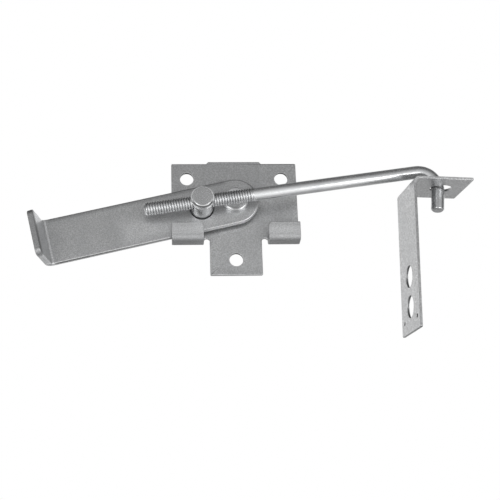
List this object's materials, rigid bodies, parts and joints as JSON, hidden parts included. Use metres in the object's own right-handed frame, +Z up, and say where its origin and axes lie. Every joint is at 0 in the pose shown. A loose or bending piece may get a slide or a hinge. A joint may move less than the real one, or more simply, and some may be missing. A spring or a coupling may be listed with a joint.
{
  "type": "adjustable jamb latch",
  "caption": "Screw-on jamb latch: folded plate with J-hooks, swinging lever with a grip, swivel post, threaded hook rod and a loose folded keeper.",
  "frame": {"origin": "middle of the two upper screw holes, on the back of the mounting plate", "axes": "+Y is the outward normal of the plate's back, -Y faces the user, +Z is up, +X points to the keeper"},
  "size_m": [0.2105, 0.0369, 0.0931],
  "materials": {
    "zinc_sheet": "bright zinc plate",
    "zinc_turned": "bright zinc plate",
    "zinc_rod": "bright zinc plate"
  },
  "bodies": {
    "plate": {"mounting_plate": "zinc_sheet", "pivot_rivet": "zinc_turned", "pivot_spacer": "zinc_turned"},
    "lever": {"lever": "zinc_sheet"},
    "post": {"swivel_post": "zinc_turned"},
    "rod": {"hook_rod": "zinc_rod"},
    "keeper": {"keeper": "zinc_sheet"}
  },
  "joints": [
    {"name": "lever_pivot", "type": "hinge", "parent": "plate", "child": "lever", "pos_m": [0, -0.0059, -0.0141], "axis": [0, 1, 0], "range_deg": [0, 206]},
    {"name": "post_swivel", "type": "hinge", "parent": "lever", "child": "post", "pos_m": [-0.01637, -0.0154, -0.01789], "axis": [0, 1, 0], "range_deg": [-165, 130]},
    {"name": "rod_adjust", "type": "slide", "parent": "post", "child": "rod", "axis": [0.99, 0, 0.1409], "range_m": [-0.0195, 0.021]},
    {"name": "keeper_swivel", "type": "hinge", "parent": "rod", "child": "keeper", "pos_m": [0.09866, -0.0154, -0.011], "axis": [0.0227, -0.0993, 0.9948], "continuous": true}
  ]
}
